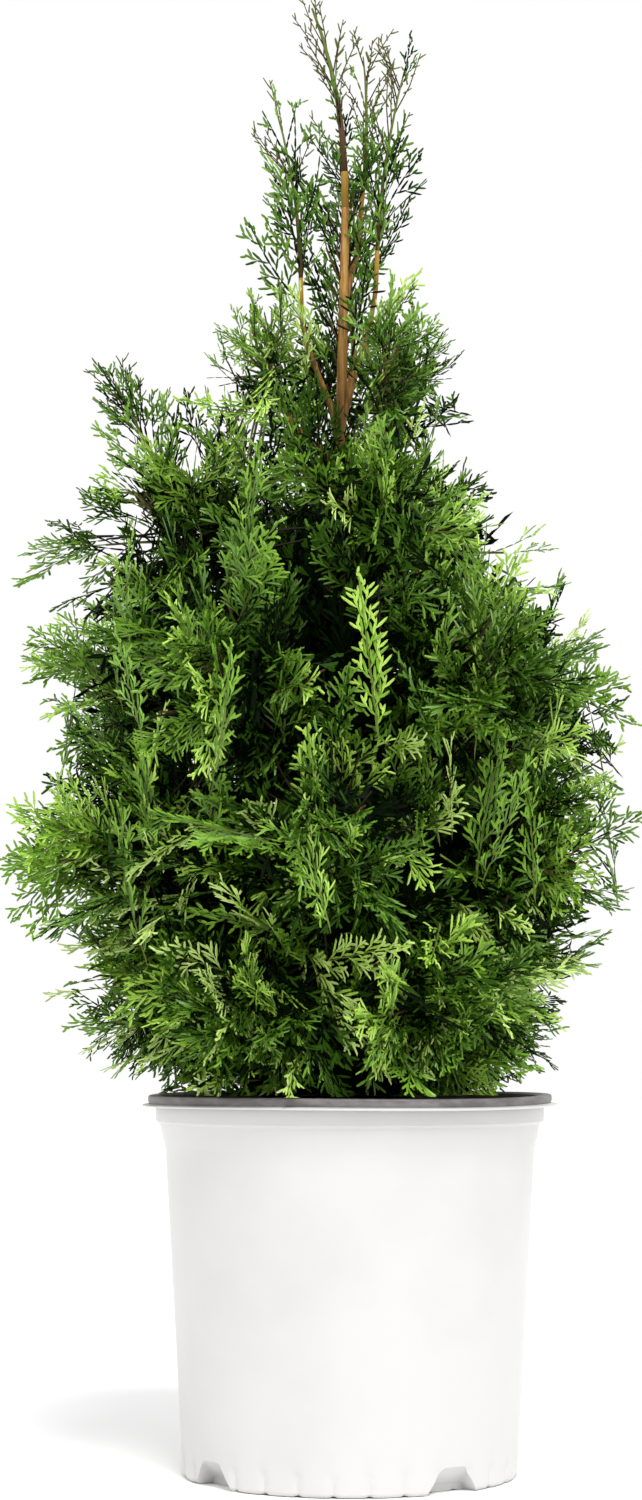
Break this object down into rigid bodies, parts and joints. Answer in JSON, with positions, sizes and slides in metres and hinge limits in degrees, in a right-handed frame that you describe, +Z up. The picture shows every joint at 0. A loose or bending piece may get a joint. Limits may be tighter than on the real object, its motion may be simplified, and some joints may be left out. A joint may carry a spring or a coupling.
{
  "type": "potted arborvitae",
  "caption": "Young conical evergreen with upright scaly sprays, growing in a round white plastic nursery pot with a dark rolled rim and notched foot.",
  "frame": {"origin": "centre of the pot's flat underside, where it stands on the ground", "axes": "+Z up along the pot's axis, -Y towards the plant's best side, +X to the right seen from there"},
  "size_m": [0.3672, 0.3778, 0.8685],
  "materials": {
    "pot_plastic": "white moulded plastic with a soft sheen, dark grey on the rolled rim and the inside",
    "potting_mix": "damp dark brown bark fines and peat",
    "bark": "thin fibrous orange-brown bark, greener towards the tips",
    "foliage": "flat sprays of small overlapping scale leaves, bright green with a slight sheen, yellow-green at the tips"
  },
  "bodies": {
    "root": {"bough_fork_right": "bark", "bough_low_1": "bark", "bough_low_2": "bark", "bough_low_3": "bark", "bough_low_4": "bark", "bough_low_5": "bark", "bough_middle_1": "bark", "bough_middle_2": "bark", "bough_middle_3": "bark", "bough_middle_4": "bark", "bough_middle_5": "bark", "bough_shoulder_1": "bark", "bough_shoulder_2": "bark", "bough_shoulder_3": "bark", "bough_shoulder_4": "bark", "bough_skirt_1": "bark", "bough_skirt_2": "bark", "bough_skirt_3": "bark", "bough_skirt_4": "bark", "bough_skirt_5": "bark", "bough_spire_back": "bark", "bough_spire_left": "bark", "bough_spire_right": "bark", "bough_upper_1": "bark", "bough_upper_2": "bark", "bough_upper_3": "bark", "bough_upper_4": "bark", "bough_wing": "bark", "foliage_fork_right": "foliage", "foliage_low_1": "foliage", "foliage_low_2": "foliage", "foliage_low_3": "foliage", "foliage_low_4": "foliage", "foliage_low_5": "foliage", "foliage_middle_1": "foliage", "foliage_middle_2": "foliage", "foliage_middle_3": "foliage", "foliage_middle_4": "foliage", "foliage_middle_5": "foliage", "foliage_shoulder_1": "foliage", "foliage_shoulder_2": "foliage", "foliage_shoulder_3": "foliage", "foliage_shoulder_4": "foliage", "foliage_skirt_1": "foliage", "foliage_skirt_2": "foliage", "foliage_skirt_3": "foliage", "foliage_skirt_4": "foliage", "foliage_skirt_5": "foliage", "foliage_spire_back": "foliage", "foliage_spire_left": "foliage", "foliage_spire_right": "foliage", "foliage_tip": "foliage", "foliage_upper_1": "foliage", "foliage_upper_2": "foliage", "foliage_upper_3": "foliage", "foliage_upper_4": "foliage", "foliage_wing": "foliage", "pot": "pot_plastic", "potting_mix": "potting_mix", "trunk": "bark"}
  },
  "joints": []
}
